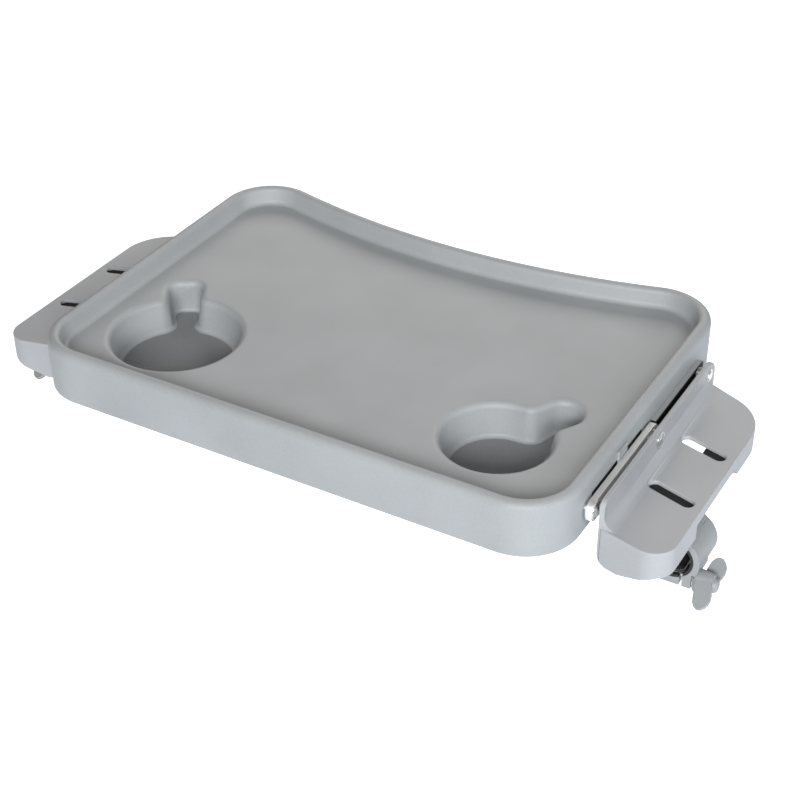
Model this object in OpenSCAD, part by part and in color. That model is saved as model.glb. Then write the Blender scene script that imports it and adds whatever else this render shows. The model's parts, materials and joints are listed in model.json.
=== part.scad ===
// Walker tray: a moulded tray with two cup wells, carried on each side by a
// folding link and a bracket that clamps to the side tube of a walking frame.
// The origin is on top of the tray's floor, at the middle of its plan.
// +X points to one clamp, -Y to the straight edge with the cups, +Z up.
// The side at +X is drawn, and the other side is its mirror image.

/* [Tray] */
// Width of the tray across its two sides
tray_w = 405; // [398:1:420]
// Depth of the tray from the straight edge to the furthest points of the belly edge
tray_d = 285.4; // [283:0.1:300]
// Height of the rim above the floor
rim_h = 13; // [11:0.5:18]
// Height of the side wall below the floor
skirt_h = 27; // [27:0.5:32]
// Radius of the corners at the straight edge
front_r = 38.7; // [30:0.1:42]
// Radius of the corners at the belly edge
rear_r = 39.1; // [30:0.1:42]
// How far the belly edge curves in at its middle
belly_sag = 22; // [12:0.5:30]
// Width of the rim, measured across its rounded top
rim_w = 9.1; // [8.5:0.1:11]
// Wall of the tray moulding
wall = 2.6; // [2.2:0.1:3]
// Thickness of the tray floor
floor_t = 3; // [2.4:0.1:4]
// Height of the ribs under the floor
rib_h = 9; // [6:0.5:14]
// Distance between the ribs under the floor
rib_pitch = 45; // [35:1:70]

/* [Cup wells] */
// Radius of the large cup well below its lip
big_cup_r = 46; // [40:0.5:48]
// Distance of the large cup well from the side of the tray
big_cup_in = 73.5; // [72:0.5:80]
// Radius of the small cup well below its lip
small_cup_r = 37; // [32:0.5:40]
// Distance of the small cup well from the side of the tray
small_cup_in = 76.5; // [70:0.5:85]
// Distance of both cup wells from the straight edge
cup_back = 75; // [73:0.5:80]
// Depth of the cup wells below the floor
cup_depth = 24.6; // [18:0.1:24.6]
// Width of the large notch, where a mug handle drops in
big_notch_w = 24; // [20:0.5:26]
// Width of the small notch
small_notch_w = 25; // [20:0.5:26]
// Reach of the large notch from the middle of its cup well
big_notch_reach = 71; // [66:0.5:76]
// Reach of the small notch from the middle of its cup well
small_notch_reach = 65; // [58:0.5:68]

/* [Links] */
// Distance from one pivot of the link bar to the other
link_span = 87.5; // [84:0.5:88]
// Distance of the front pivot from the straight edge
pivot_back = 48; // [47:0.5:52]
// Height of the pivots above the lower edge of the tray
pivot_up = 17; // [16:0.5:18]
// Height of the link bar
bar_h = 15; // [12:0.5:15]
// Thickness of the link bar
bar_t = 4.4; // [3:0.1:4.6]
// Diameter of the link rivets
rivet_d = 6; // [5:0.1:6.4]
// Diameter of the pin that slides in the rail
slide_pin_d = 4; // [3:0.1:4.2]
// Thickness of the slide rail
rail_t = 3.5; // [3.3:0.1:3.8]

/* [Brackets] */
// Gap between the tray's side and the bracket's upright wall
bracket_gap = 8.8; // [8.8:0.1:11]
// Wall of the bracket moulding
bracket_wall = 3; // [2.5:0.1:3.4]
// Width of the shelf, upright wall included
shelf_w = 49.2; // [48:0.1:54]
// Height of the upright wall above the top of the shelf
upright_h = 20.6; // [20:0.1:24]
// Depth of the shelf's top below the floor of the tray
shelf_drop = 22; // [21:0.5:24]
// Depth of the skirt at the shelf's front outer corner
front_skirt = 20; // [16:0.5:20]
// Depth of the skirt round the rear of the shelf
rear_skirt = 17; // [13:0.5:19]
// Depth of the lip between the two skirts
lip_depth = 9; // [8:0.5:10]
// Length of the slots in the shelf
slot_l = 34; // [28:0.5:35]
// Width of the slots in the shelf
slot_w = 8.5; // [7:0.5:9]

/* [Clamps] */
// Diameter of the tube that the clamp grips
tube_d = 25.4; // [24:0.1:25.6]
// Thickness of the rubber liner in the jaws
liner_t = 2.1; // [1.8:0.1:2.2]
// Wall of the jaws outside the liner
jaw_wall = 4.1; // [4:0.1:4.6]
// Length of the clamp along the tube
clamp_l = 32; // [30:0.5:34]
// Height of the tube's axis below the top of the shelf
tube_drop = 41.5; // [41:0.5:44]
// Diameter of the clamp bolt
bolt_d = 5; // [4.4:0.1:5]
// Reach of the wings of the knob from its axis
wing_reach = 18.5; // [17:0.1:20]

/* [Hidden] */
$fn = 48;

// Overrun of cuts past the solid that they cut, and how far joined pieces sink in
over = 1;
// Running clearance round pins, seat clearance of fixed pins, gap beside moving faces
run_fit = 0.06;
seat_fit = 0.02;
side_gap = 0.2;
// Colours of the moulding, the rubber and the metal
plastic = "#b4b9be";
rubber = "#26292c";
steel = "#d8d9da";
zinc = "#c3c5c7";

// Rim section: shoulders, lean of the inner wall, fillet at the floor, chamfer at the foot
rim_inner_r = 3.8;
rim_outer_r = rim_w - rim_inner_r;
inner_lean = 12;
floor_fillet = 4;
foot_chamfer = 1;
z_foot = -skirt_h;
side_x = tray_w/2;
front_reach = 150;
front_y = -front_reach;
shoulder_z = rim_h - rim_inner_r;
fillet_run = (shoulder_z + (rim_inner_r + floor_fillet)*sin(inner_lean) - floor_fillet)/cos(inner_lean);
fillet_u = rim_outer_r + (rim_inner_r + floor_fillet)*cos(inner_lean) + fillet_run*sin(inner_lean);
strip_w = fillet_u + over;
rib_t = 1.8;

// Belly edge: one arc, rounded into the sides by arcs that touch it
rear_cx = side_x - rear_r;
rear_cy = front_y + tray_d - rear_r;
belly_span = (belly_sag*belly_sag + rear_cx*rear_cx)/(2*belly_sag);
belly_r = belly_span - rear_r;
belly_y = rear_cy + belly_span - belly_sag;
belly_turn = 2*asin(rear_cx/belly_span);
rear_turn = 90 + belly_turn/2;
// Where the belly's sweep laps over the corners, it stands this much proud of them
lap_l = 0.5;
lap_rise = 0.02;
lap_turn = 2*asin(lap_l/belly_span);
front_cx = side_x - front_r;
front_cy = front_y + front_r;

// Cup wells: draft, rounding of the lip and of the foot, wall of the shell
cup_draft = 3;
notch_draft = 0.7;
cup_lip = 5;
cup_foot_r = 3;
notch_foot_r = 2.2;
notch_rise = 0.4;
cup_wall = 2.4;
cup_y = front_y + cup_back;
big_cup_x = big_cup_in - side_x;
small_cup_x = side_x - small_cup_in;
big_notch_turn = 120;
small_notch_turn = 60;
notch_corner_r = 8;

// Links: x planes from the tray's side outwards, and three pivots in line
pivot_z = z_foot + pivot_up;
front_pin_y = front_y + pivot_back;
middle_pin_y = front_pin_y + link_span;
slide_pin_y = middle_pin_y + link_span;
washer_t = 1.6;
washer_r = 6.2;
bar_x = side_x + washer_t + side_gap;
bar_end_x = bar_x + bar_t;
upright_x = side_x + bracket_gap;
upright_t = 3.5;
shelf_x = upright_x + upright_t;
bar_tail = 3.5;
rivet_r = rivet_d/2;
rivet_head_r = 4.6;
rivet_head_t = 1.3;
rivet_foot_t = 0.9;
collar_t = 0.5;
collar_r = 6;
pivot_boss_r = 8;
pivot_boss_t = 4;
rail_h = 8.6;
rail_tail = 11;
rail_nose = 4;
slide_travel = 71;
pin_r = slide_pin_d/2;
groove_floor = 1.3;
rail_end_x = side_x + rail_t;
bushing_r = 3.6;
rail_screw_r = 1;
rail_screw_head_r = 1.9;
rail_screw_head_t = 1.1;
rail_screw_l = 6.5;
rail_screw_count = 3;
guide_l = 14;
guide_back = 44;
guide_y = front_pin_y + guide_back;
guide_up = 31;
guide_down = 10;
guide_gap = 0.3;
guide_peg_r = 2;

// Brackets: plan of the shelf, with two round outer corners and two leaning edges
shelf_z = -shelf_drop;
shelf_under = shelf_z - bracket_wall;
outer_x = upright_x + shelf_w;
front_corner_r = 15.7;
rear_corner_r = 39;
front_corner_back = 7;
front_corner_y = front_pin_y + front_corner_back;
rear_corner_ahead = 37;
rear_corner_y = slide_pin_y - rear_corner_ahead;
front_lean = 13.5;
rear_lean = 23.3;
upright_top = shelf_z + upright_h;
upright_nose = 1.2;
upright_tail = 11.5;
upright_front_y = front_pin_y - upright_nose;
upright_rear_y = slide_pin_y + upright_tail;
upright_corner_r = 6;
ear_r = 12;
skirt_extra = 9;
front_skirt_deep = front_skirt + skirt_extra;
skirt_corner_r = 8;
slope_start = 15.7;
slope_run = 27;
window_back = 42;
window_l = 73;
window_front_y = front_pin_y + window_back;
window_rear_y = window_front_y + window_l;
window_drop = 3.5;
root_fillet = 9;
slot_mid = 26.4;
slot_turn = 16.5;
front_slot_back = 11;
slot_pitch = 56;
slot_chamfer = 0.8;
front_slot_y = window_front_y + front_slot_back;
rear_slot_y = front_slot_y + slot_pitch;
peep_r = 1.6;
peep_back = 4;
shelf_rib_t = 2;
shelf_rib_h = 6;
front_rib_ahead = 15;
rear_rib_back = 28;
front_rib_y = window_front_y - front_rib_ahead;
rear_rib_y = rear_slot_y + rear_rib_back;
pad_in = 26.2;
pad_t = 4;
pad_l = 36;
pad_gap = 0.3;

// Clamp foot under the shelf: its rubber sheet, its two screws and their bosses
gasket_t = 1.5;
foot_t = 9.5;
foot_floor = 4;
foot_in = 7.7;
foot_gap = 1;
foot_l = 54;
boss_r = 4.5;
boss_room = 0.3;
screw_r = 1.6;
screw_head_r = 3.2;
screw_head_t = 2;
screw_cover = 2;
screw_span = 45;
screw_in = 5;

// Clamp jaws: bore in the outer half of the shelf, hinge above it, bolt below it
tube_in = 14.5;
tube_x = outer_x - tube_in;
tube_z = shelf_z - tube_drop;
tube_y = window_front_y + clamp_l/2;
grip_play = 0.1;
grip_r = tube_d/2 + grip_play;
seat_r = grip_r + liner_t;
jaw_r = seat_r + jaw_wall;
jaw_front_y = tube_y - clamp_l/2;
jaw_rear_y = tube_y + clamp_l/2;
bolt_r = bolt_d/2;
bolt_set_back = 6;
bolt_room = 0.5;
base_wall = 1.8;
bolt_y = jaw_front_y + bolt_set_back;
bolt_z = tube_z - grip_r - bolt_room - bolt_r;
base_z = bolt_z - bolt_r - base_wall;
base_half = 15;
base_out = 14.4;
base_top = 8;
neck_half = 9;
slit_in = 6.4;
slit_out = 8.4;
hinge_turn = 60;
hinge_gap_turn = 1;
knuckle_r = 3.2;
knuckle_l = 8;
knuckle_gap = 0.3;
jaw_pin_r = 1.5;
hinge_r = grip_r + knuckle_r;
jaw_bolt_room = 0.7;
spot_r = 9;
fixed_liner_turns = [76, 294];
moving_liner_turns = [-50, 44];
liner_window = 7;
liner_window_l = 6.4;
nut_r = 4.6;
nut_t = 4;
nut_lug_l = 10;
nut_gap = 0.1;
clamp_washer_t = 1;
clamp_washer_r = 5.5;
bolt_tail = 7;
bolt_grip = 9.5;

// Wing knob: hub and two lobes
knob_gap = 0.1;
knob_x = tube_x + base_out + side_gap + clamp_washer_t + knob_gap;
hub_r = 8;
hub_nose_r = 6.9;
hub_l = 15.6;
hub_round = 2.5;
hub_step = 2;
wing_t = 4.4;
wing_turn = 35;
lobe_r = 6;
lobe_mid = 9.8;
lobe_foot = 2.6;
lobe_foot_up = 7.6;
lobe_outer = 14.6;

// Points of an arc, from one angle to another
function arc(cx, cy, r, a0, a1, first = 0, n = 6) =
    [for (i = [first:n]) [cx + r*cos(a0 + (a1 - a0)*i/n), cy + r*sin(a0 + (a1 - a0)*i/n)]];

// The same points on the other side of the vertical axis, in reverse order
function mirrored(points) = [for (i = [len(points) - 1:-1:0]) [-points[i][0], points[i][1]]];

// Solids along an axis: an outline in (y, z) along X, an outline in (x, z) along Y, and round rods
module along_x(x0, x1) translate([x0, 0, 0]) rotate([90, 0, 90]) linear_extrude(x1 - x0) children();
module along_y(y0, y1) translate([0, y1, 0]) rotate([90, 0, 0]) linear_extrude(y1 - y0) children();
module rod_x(r, x0, x1, y, z) translate([x0, y, z]) rotate([0, 90, 0]) cylinder(r = r, h = x1 - x0);
module rod_y(r, y0, y1, x, z) translate([x, y1, z]) rotate([90, 0, 0]) cylinder(r = r, h = y1 - y0);
module rod_z(r, z0, z1, x, y) translate([x, y, z0]) cylinder(r = r, h = z1 - z0);
module left_side() mirror([1, 0, 0]) children();
module both_sides() {
    children();
    mirror([1, 0, 0]) children();
}

// A low domed head on the X axis, with its flat side at x
module dome_x(r, h, x, y, z) {
    ball_r = (r*r + h*h)/(2*h);
    translate([x, y, z]) rotate([0, 90, 0]) rotate_extrude()
        polygon(concat([[0, 0]], arc(0, h - ball_r, ball_r, 90 - asin(r/ball_r), 90)));
}

// Section of the rim and side wall: x runs in from the edge, y is the height
under_run = (shoulder_z + (rim_inner_r - wall)*sin(inner_lean) + floor_t)/cos(inner_lean);
under_u = rim_outer_r + (rim_inner_r - wall)*cos(inner_lean) + under_run*sin(inner_lean);
function rim_section(g) = concat(
    [[foot_chamfer, z_foot - g], [-g, z_foot + foot_chamfer]],
    arc(rim_outer_r, rim_h - rim_outer_r, rim_outer_r + g, 180, 90, 0, 5),
    arc(rim_outer_r, shoulder_z, rim_inner_r + g, 90, inner_lean, 1, 4),
    arc(fillet_u, floor_fillet, floor_fillet - g, 180 + inner_lean, 270, 0, 4),
    [[strip_w + 10*g, g], [strip_w + 10*g, -floor_t - g],
     [under_u - g*(1 - sin(inner_lean))/cos(inner_lean), -floor_t - g]],
    arc(rim_outer_r, shoulder_z, rim_inner_r - wall - g, inner_lean, 90, 0, 2),
    arc(rim_outer_r, rim_h - rim_outer_r, rim_outer_r - wall - g, 90, 180, 1, 4),
    [[wall + g, z_foot - g]]
);

module turned_section(r) translate([r, 0]) mirror([1, 0]) polygon(rim_section(0));

module rim() {
    translate([-front_cx, front_y, 0]) rotate([90, 0, 90])
        linear_extrude(2*front_cx) polygon(rim_section(0));
    both_sides() {
        translate([side_x, front_cy, 0]) rotate([90, 0, 180])
            linear_extrude(rear_cy - front_cy) polygon(rim_section(0));
        translate([front_cx, front_cy, 0]) rotate([0, 0, -90])
            rotate_extrude(angle = 90, $fn = 96) turned_section(front_r);
        translate([rear_cx, rear_cy, 0])
            rotate_extrude(angle = rear_turn, $fn = 96) turned_section(rear_r);
    }
    translate([0, belly_y, 0]) rotate([0, 0, 270 - belly_turn/2 - lap_turn])
        rotate_extrude(angle = belly_turn + 2*lap_turn, $fn = 360)
            translate([belly_r, 0]) polygon(rim_section(lap_rise));
}

// Plan of the tray, drawn in from its edge by d
module tray_plan(d) {
    translate([-side_x + d, front_cy]) square([tray_w - 2*d, rear_cy - front_cy]);
    translate([-front_cx, front_y + d]) square([2*front_cx, front_r]);
    for (side = [-1, 1]) {
        translate([side*front_cx, front_cy]) circle(r = front_r - d, $fn = 96);
        translate([side*rear_cx, rear_cy]) circle(r = rear_r - d, $fn = 96);
    }
    difference() {
        polygon([[-rear_cx, rear_cy - over], [rear_cx, rear_cy - over], [rear_cx, rear_cy],
                 [0, belly_y], [-rear_cx, rear_cy]]);
        translate([0, belly_y]) circle(r = belly_r + d, $fn = 360);
    }
}

module floor_ribs() {
    x_count = floor(side_x/rib_pitch);
    y_count = floor(front_reach/rib_pitch);
    intersection() {
        translate([0, 0, -floor_t - rib_h]) linear_extrude(rib_h + floor_t/2) tray_plan(wall/2);
        union() {
            for (i = [-x_count:x_count])
                translate([i*rib_pitch - rib_t/2, front_y, z_foot]) cube([rib_t, tray_d, skirt_h]);
            for (i = [-y_count:y_count])
                translate([-side_x, i*rib_pitch - rib_t/2, z_foot]) cube([tray_w, rib_t, skirt_h]);
        }
    }
}

// Side of a well, from its foot to its lip
function well_side(r, draft, depth, foot_r) = concat(
    arc(r - draft - foot_r, foot_r - depth, foot_r, 270, 360, 0, 4),
    arc(r + cup_lip, -cup_lip, cup_lip, 180, 90, 0, 5),
    [[r + cup_lip, over]]
);

// The same side, slimmer by a hair, so that a trough ends inside the corners of its end
function slimmer(side) = [for (p = side) p - [lap_rise, 0]];

module revolved(side) rotate_extrude($fn = 96)
    polygon(concat([[0, side[0][1]]], side, [[0, side[len(side) - 1][1]]]));
module trough(side, l) rotate([90, 0, 90]) linear_extrude(l) polygon(concat(side, mirrored(side)));

// A cup well and its notch; the corners of the notch's end have radius corner_r
module well(x, r, notch_r, corner_r, reach, turn) translate([x, cup_y, 0]) {
    notch = well_side(notch_r, notch_draft, cup_depth - notch_rise, notch_foot_r);
    corner = well_side(corner_r, notch_draft, cup_depth - notch_rise, notch_foot_r);
    spread = notch_r - corner_r;
    revolved(well_side(r, cup_draft, cup_depth, cup_foot_r));
    rotate([0, 0, turn]) {
        trough(spread > 0 ? slimmer(notch) : notch, reach - corner_r);
        for (y = spread > 0 ? [-spread, spread] : [0])
            translate([reach - corner_r, y, 0]) revolved(corner);
        if (spread > 0)
            translate([reach - corner_r, -spread, 0]) rotate([0, 0, 90]) trough(corner, 2*spread);
    }
}

// The shell under the floor that holds a well
module well_shell(x, r, notch_r, corner_r, reach, turn) translate([x, cup_y, 0]) {
    half = notch_r + cup_wall;
    end_r = corner_r + cup_wall;
    end_x = reach - corner_r;
    revolved([[r - cup_draft + cup_wall, -cup_depth - cup_wall], [r + cup_wall, -cup_lip],
              [r + cup_wall, -floor_t/2]]);
    rotate([0, 0, turn]) translate([0, 0, -cup_depth - cup_wall])
        linear_extrude(cup_depth + cup_wall - floor_t/2) {
            translate([0, -half]) square([end_x, 2*half]);
            if (half > end_r)
                translate([0, end_r - half]) square([end_x + end_r, 2*(half - end_r)]);
            for (y = [end_r - half, half - end_r]) translate([end_x, y]) circle(r = end_r);
        }
}

module wells() {
    well(big_cup_x, big_cup_r, big_notch_w/2, notch_corner_r, big_notch_reach, big_notch_turn);
    well(small_cup_x, small_cup_r, small_notch_w/2, small_notch_w/2, small_notch_reach, small_notch_turn);
}

module well_shells() {
    well_shell(big_cup_x, big_cup_r, big_notch_w/2, notch_corner_r, big_notch_reach, big_notch_turn);
    well_shell(small_cup_x, small_cup_r, small_notch_w/2, small_notch_w/2, small_notch_reach,
               small_notch_turn);
}

function rail_screw_y(i) =
    slide_pin_y - slide_travel + slide_travel*(i + 0.5)/rail_screw_count;

module tray_shell() color(plastic) difference() {
    union() {
        rim();
        translate([0, 0, -floor_t]) linear_extrude(floor_t) tray_plan(strip_w - over/2);
        floor_ribs();
        well_shells();
        both_sides() {
            rod_x(pivot_boss_r, side_x - wall - pivot_boss_t, side_x - wall/2, front_pin_y, pivot_z);
            for (i = [0:rail_screw_count - 1])
                rod_x(2*rail_screw_head_r, side_x - wall - pivot_boss_t, side_x - wall/2,
                      rail_screw_y(i), pivot_z);
        }
    }
    wells();
    both_sides() {
        rod_x(rivet_r + seat_fit, side_x - wall - pivot_boss_t - over, side_x + over,
              front_pin_y, pivot_z);
        for (i = [0:rail_screw_count - 1])
            rod_x(rail_screw_r + seat_fit, side_x - wall - pivot_boss_t - over, side_x + over,
                  rail_screw_y(i), pivot_z);
        rod_x(guide_peg_r + seat_fit, side_x - wall - over, side_x + over, guide_y + guide_l/2, pivot_z);
    }
}

// Pad that steadies the link bar, with a peg through the tray's side
module guide_pad() color(plastic) {
    translate([side_x, guide_y, z_foot + guide_down])
        cube([bar_x - side_x - guide_gap, guide_l, guide_up - guide_down]);
    rod_x(guide_peg_r, side_x - wall, bar_x - guide_gap - over/2, guide_y + guide_l/2, pivot_z);
}

// A bar outline in (y, z) with two round ends
module stadium(y0, y1, r) {
    translate([y0, pivot_z]) circle(r = r);
    translate([y1, pivot_z]) circle(r = r);
    translate([y0, pivot_z - r]) square([y1 - y0, 2*r]);
}

module slide_rail() color(plastic) difference() {
    along_x(side_x, rail_end_x) {
        translate([slide_pin_y + rail_tail - rail_h/2, pivot_z]) circle(r = rail_h/2);
        translate([slide_pin_y - slide_travel - rail_nose, pivot_z - rail_h/2])
            square([slide_travel + rail_nose + rail_tail - rail_h/2, rail_h]);
    }
    along_x(side_x + groove_floor, rail_end_x + over)
        stadium(slide_pin_y - slide_travel, slide_pin_y, pin_r + side_gap/2);
    for (i = [0:rail_screw_count - 1]) {
        rod_x(rail_screw_r + seat_fit, side_x - over, side_x + over, rail_screw_y(i), pivot_z);
        rail_screw_head(i, seat_fit);
    }
}

module rail_screw_head(i, room)
    translate([side_x + groove_floor - rail_screw_head_t, rail_screw_y(i), pivot_z]) rotate([0, 90, 0])
        cylinder(r1 = rail_screw_r + room, r2 = rail_screw_head_r + room, h = rail_screw_head_t);

module rail_screws() color(steel) for (i = [0:rail_screw_count - 1]) {
    rail_screw_head(i, 0);
    rod_x(rail_screw_r, side_x - rail_screw_l, side_x + groove_floor - rail_screw_head_t/2,
          rail_screw_y(i), pivot_z);
}

module link_bar() color(steel) difference() {
    along_x(bar_x, bar_end_x) stadium(front_pin_y, middle_pin_y + bar_tail, bar_h/2);
    rod_x(rivet_r + run_fit, bar_x - over, bar_end_x + over, front_pin_y, pivot_z);
    rod_x(rivet_r + run_fit, bar_x - over, bar_end_x + over, middle_pin_y, pivot_z);
}

// A ring on the X axis
module ring_x(r, hole_r, x0, x1, y, z) difference() {
    rod_x(r, x0, x1, y, z);
    rod_x(hole_r, x0 - over, x1 + over, y, z);
}

module pivot_washer() color(zinc)
    ring_x(washer_r, rivet_r + seat_fit, side_x, side_x + washer_t, front_pin_y, pivot_z);

module front_rivet() color(steel) {
    foot_x = side_x - wall - pivot_boss_t;
    rod_x(rivet_head_r, foot_x - rivet_head_t, foot_x, front_pin_y, pivot_z);
    rod_x(rivet_r, foot_x - rivet_head_t/2, bar_end_x + run_fit + collar_t, front_pin_y, pivot_z);
    rod_x(collar_r, bar_end_x + run_fit, bar_end_x + run_fit + collar_t, front_pin_y, pivot_z);
    dome_x(rivet_head_r, rivet_head_t - side_gap, bar_end_x + run_fit + collar_t, front_pin_y, pivot_z);
}

module middle_rivet() color(steel) {
    foot_x = bar_x - run_fit;
    rod_x(rivet_head_r, foot_x - rivet_foot_t, foot_x, middle_pin_y, pivot_z);
    rod_x(rivet_r, foot_x - rivet_foot_t/2, shelf_x + collar_t, middle_pin_y, pivot_z);
    rod_x(collar_r, shelf_x, shelf_x + collar_t, middle_pin_y, pivot_z);
    dome_x(rivet_head_r, rivet_head_t, shelf_x + collar_t, middle_pin_y, pivot_z);
}

module link_spacer() color(zinc)
    ring_x(collar_r, rivet_r + seat_fit, bar_end_x + run_fit, upright_x, middle_pin_y, pivot_z);

module slide_pin() color(steel) {
    rod_x(pin_r, side_x + groove_floor + guide_gap, shelf_x + collar_t, slide_pin_y, pivot_z);
    rod_x(rivet_head_r, shelf_x, shelf_x + collar_t, slide_pin_y, pivot_z);
    dome_x(rivet_head_r - collar_t, rivet_head_t, shelf_x + collar_t, slide_pin_y, pivot_z);
}

module pin_bushing() color(zinc)
    ring_x(bushing_r, pin_r + seat_fit, rail_end_x + side_gap, upright_x, slide_pin_y, pivot_z);

// Plan of the shelf, drawn in from its edge by d, from x_in outwards
module shelf_plan(d, x_in) {
    front_c = [outer_x - front_corner_r, front_corner_y];
    rear_c = [outer_x - rear_corner_r, rear_corner_y];
    front_t = front_c - (front_corner_r - d)*[sin(front_lean), cos(front_lean)];
    rear_t = rear_c + (rear_corner_r - d)*[sin(rear_lean), cos(rear_lean)];
    polygon([
        [x_in, front_t[1] + (front_t[0] - x_in)*tan(front_lean)], front_t, front_c,
        [outer_x - d, front_corner_y], [outer_x - d, rear_corner_y], rear_c, rear_t,
        [x_in, rear_t[1] + (rear_t[0] - x_in)*tan(rear_lean)]
    ]);
    translate(front_c) circle(r = front_corner_r - d, $fn = 96);
    intersection() {
        translate(rear_c) circle(r = rear_corner_r - d, $fn = 96);
        translate([x_in, 0]) square(2*shelf_w);
    }
}

module shelf() difference() {
    deep_z = shelf_z - front_skirt_deep;
    translate([0, 0, deep_z]) linear_extrude(front_skirt_deep) shelf_plan(0, upright_x + upright_t/2);
    translate([0, 0, deep_z - over]) linear_extrude(front_skirt_deep - bracket_wall + over)
        shelf_plan(bracket_wall, upright_x);
    // Opening under the lip, for the clamp and the tube
    along_x(outer_x - 2*bracket_wall, outer_x + over) polygon([
        [window_front_y, deep_z - over], [window_front_y, shelf_z - lip_depth],
        [rear_slot_y - slot_w, shelf_z - lip_depth], [window_rear_y, shelf_z - lip_depth - window_drop],
        [window_rear_y, deep_z - over]
    ]);
    // Front skirt, shallower towards the outside
    along_y(upright_front_y - front_corner_r, window_front_y) polygon([
        [upright_x + slope_start, deep_z - over], [upright_x + slope_start, deep_z],
        [upright_x + slope_start + slope_run, shelf_z - front_skirt],
        [outer_x + over, shelf_z - front_skirt], [outer_x + over, deep_z - over]
    ]);
    translate([upright_x, window_front_y, deep_z - over])
        cube([shelf_w + over, upright_rear_y - window_front_y, front_skirt_deep - rear_skirt + over]);
}

// Upright wall with its ear, from the deep front skirt back to the rear skirt
module upright() along_x(upright_x, shelf_x) polygon(concat(
    [[upright_front_y, shelf_z - front_skirt_deep]],
    arc(upright_front_y + upright_corner_r, upright_top - upright_corner_r, upright_corner_r, 180, 90),
    arc(upright_rear_y - ear_r, upright_top - ear_r, ear_r, 90, 0),
    [[upright_rear_y, shelf_z - rear_skirt], [window_front_y, shelf_z - rear_skirt],
     [window_front_y - ear_r, shelf_z - front_skirt_deep]]
));

module root_blend() {
    root_in = upright_t/2;
    along_y(upright_front_y, rear_corner_y + rear_corner_r + rivet_r/2) polygon(concat(
        [[shelf_x - root_in, shelf_under + bracket_wall/2],
         [shelf_x + root_fillet, shelf_under + bracket_wall/2]],
        arc(shelf_x + root_fillet, shelf_z + root_fillet, root_fillet, 270, 180),
        [[shelf_x - root_in, shelf_z + root_fillet]]
    ));
}

// One slot; its outer end is turned towards the front
module slot_cut(y) translate([upright_x + slot_mid, y, 0]) rotate([0, 0, -slot_turn]) {
    r = slot_w/2;
    x1 = slot_l/2 - r;
    for (x = [-x1, x1]) {
        rod_z(r, shelf_under - over, shelf_z + over, x, 0);
        translate([x, 0, shelf_z - slot_chamfer])
            cylinder(r1 = r, r2 = r + 2*slot_chamfer, h = 2*slot_chamfer);
    }
    along_x(-x1, x1) translate([0, shelf_z]) polygon([
        [-r, -bracket_wall - over], [-r, -slot_chamfer], [-r - 2*slot_chamfer, slot_chamfer],
        [r + 2*slot_chamfer, slot_chamfer], [r, -slot_chamfer], [r, -bracket_wall - over]
    ]);
}

// Places of the two screws that hold the clamp's foot
function screw_y(i) = tube_y + (i - 0.5)*screw_span;
screw_x = tube_x - screw_in;
foot_top = shelf_under - gasket_t;
foot_bottom = foot_top - foot_t;
boss_bottom = foot_bottom + foot_floor;
foot_x = upright_x + foot_in;
foot_w = shelf_w - foot_in - bracket_wall - foot_gap;

module bracket() color(plastic) difference() {
    union() {
        shelf();
        upright();
        root_blend();
        for (y = [front_rib_y, rear_rib_y])
            translate([shelf_x - upright_t/2, y - shelf_rib_t/2, shelf_under - shelf_rib_h])
                cube([outer_x - bracket_wall/2 - shelf_x + upright_t/2, shelf_rib_t,
                      shelf_rib_h + bracket_wall/2]);
        for (i = [0, 1]) rod_z(boss_r, boss_bottom, shelf_under + bracket_wall/2, screw_x, screw_y(i));
    }
    // Round lower corner of the front skirt, seen from the front
    along_y(upright_front_y - front_corner_r, window_front_y - ear_r) polygon(concat(
        [[upright_x - over, shelf_z - front_skirt_deep + skirt_corner_r]],
        arc(upright_x + skirt_corner_r, shelf_z - front_skirt_deep + skirt_corner_r, skirt_corner_r, 180, 270),
        [[upright_x + skirt_corner_r, shelf_z - front_skirt_deep - over],
         [upright_x - over, shelf_z - front_skirt_deep - over]]
    ));
    slot_cut(front_slot_y);
    slot_cut(rear_slot_y);
    rod_x(rivet_r + seat_fit, upright_x - over, shelf_x + over, middle_pin_y, pivot_z);
    rod_x(pin_r + seat_fit, upright_x - over, shelf_x + over, slide_pin_y, pivot_z);
    rod_x(collar_r + run_fit, shelf_x, shelf_x + root_fillet, middle_pin_y, pivot_z);
    rod_x(rivet_head_r + run_fit, shelf_x, shelf_x + root_fillet, slide_pin_y, pivot_z);
    rod_x(peep_r, upright_x - over, shelf_x + over, front_pin_y + peep_back, pivot_z);
    for (i = [0, 1])
        rod_z(screw_r + seat_fit, boss_bottom - over, shelf_z - screw_cover + seat_fit,
              screw_x, screw_y(i));
}

module shelf_pad() color(rubber)
    translate([upright_x + pad_in, rear_slot_y - pad_l/2, shelf_under - pad_t])
        cube([shelf_w - pad_in - bracket_wall - pad_gap, pad_l, pad_t]);

module clamp_gasket() color(rubber) difference() {
    translate([foot_x, tube_y - foot_l/2, foot_top]) cube([foot_w, foot_l, gasket_t]);
    for (i = [0, 1])
        rod_z(boss_r + boss_room, foot_top - over, shelf_under + over, screw_x, screw_y(i));
}

// What lies on the outer jaw's side: right of a ray at angle a, and right of s below the bore
module outer_share(a, s) {
    l = 2*jaw_r;
    polygon([[0, 0], [l*cos(a), l*sin(a)], [l, l*sin(a)], [l, -l], [s, -l], [s, 0]]);
}

module hinge_rod(r, y0, y1)
    rod_y(r, y0, y1, tube_x + hinge_r*cos(hinge_turn), tube_z + hinge_r*sin(hinge_turn));

module at_tube() translate([tube_x, 0, tube_z]) children();

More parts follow.
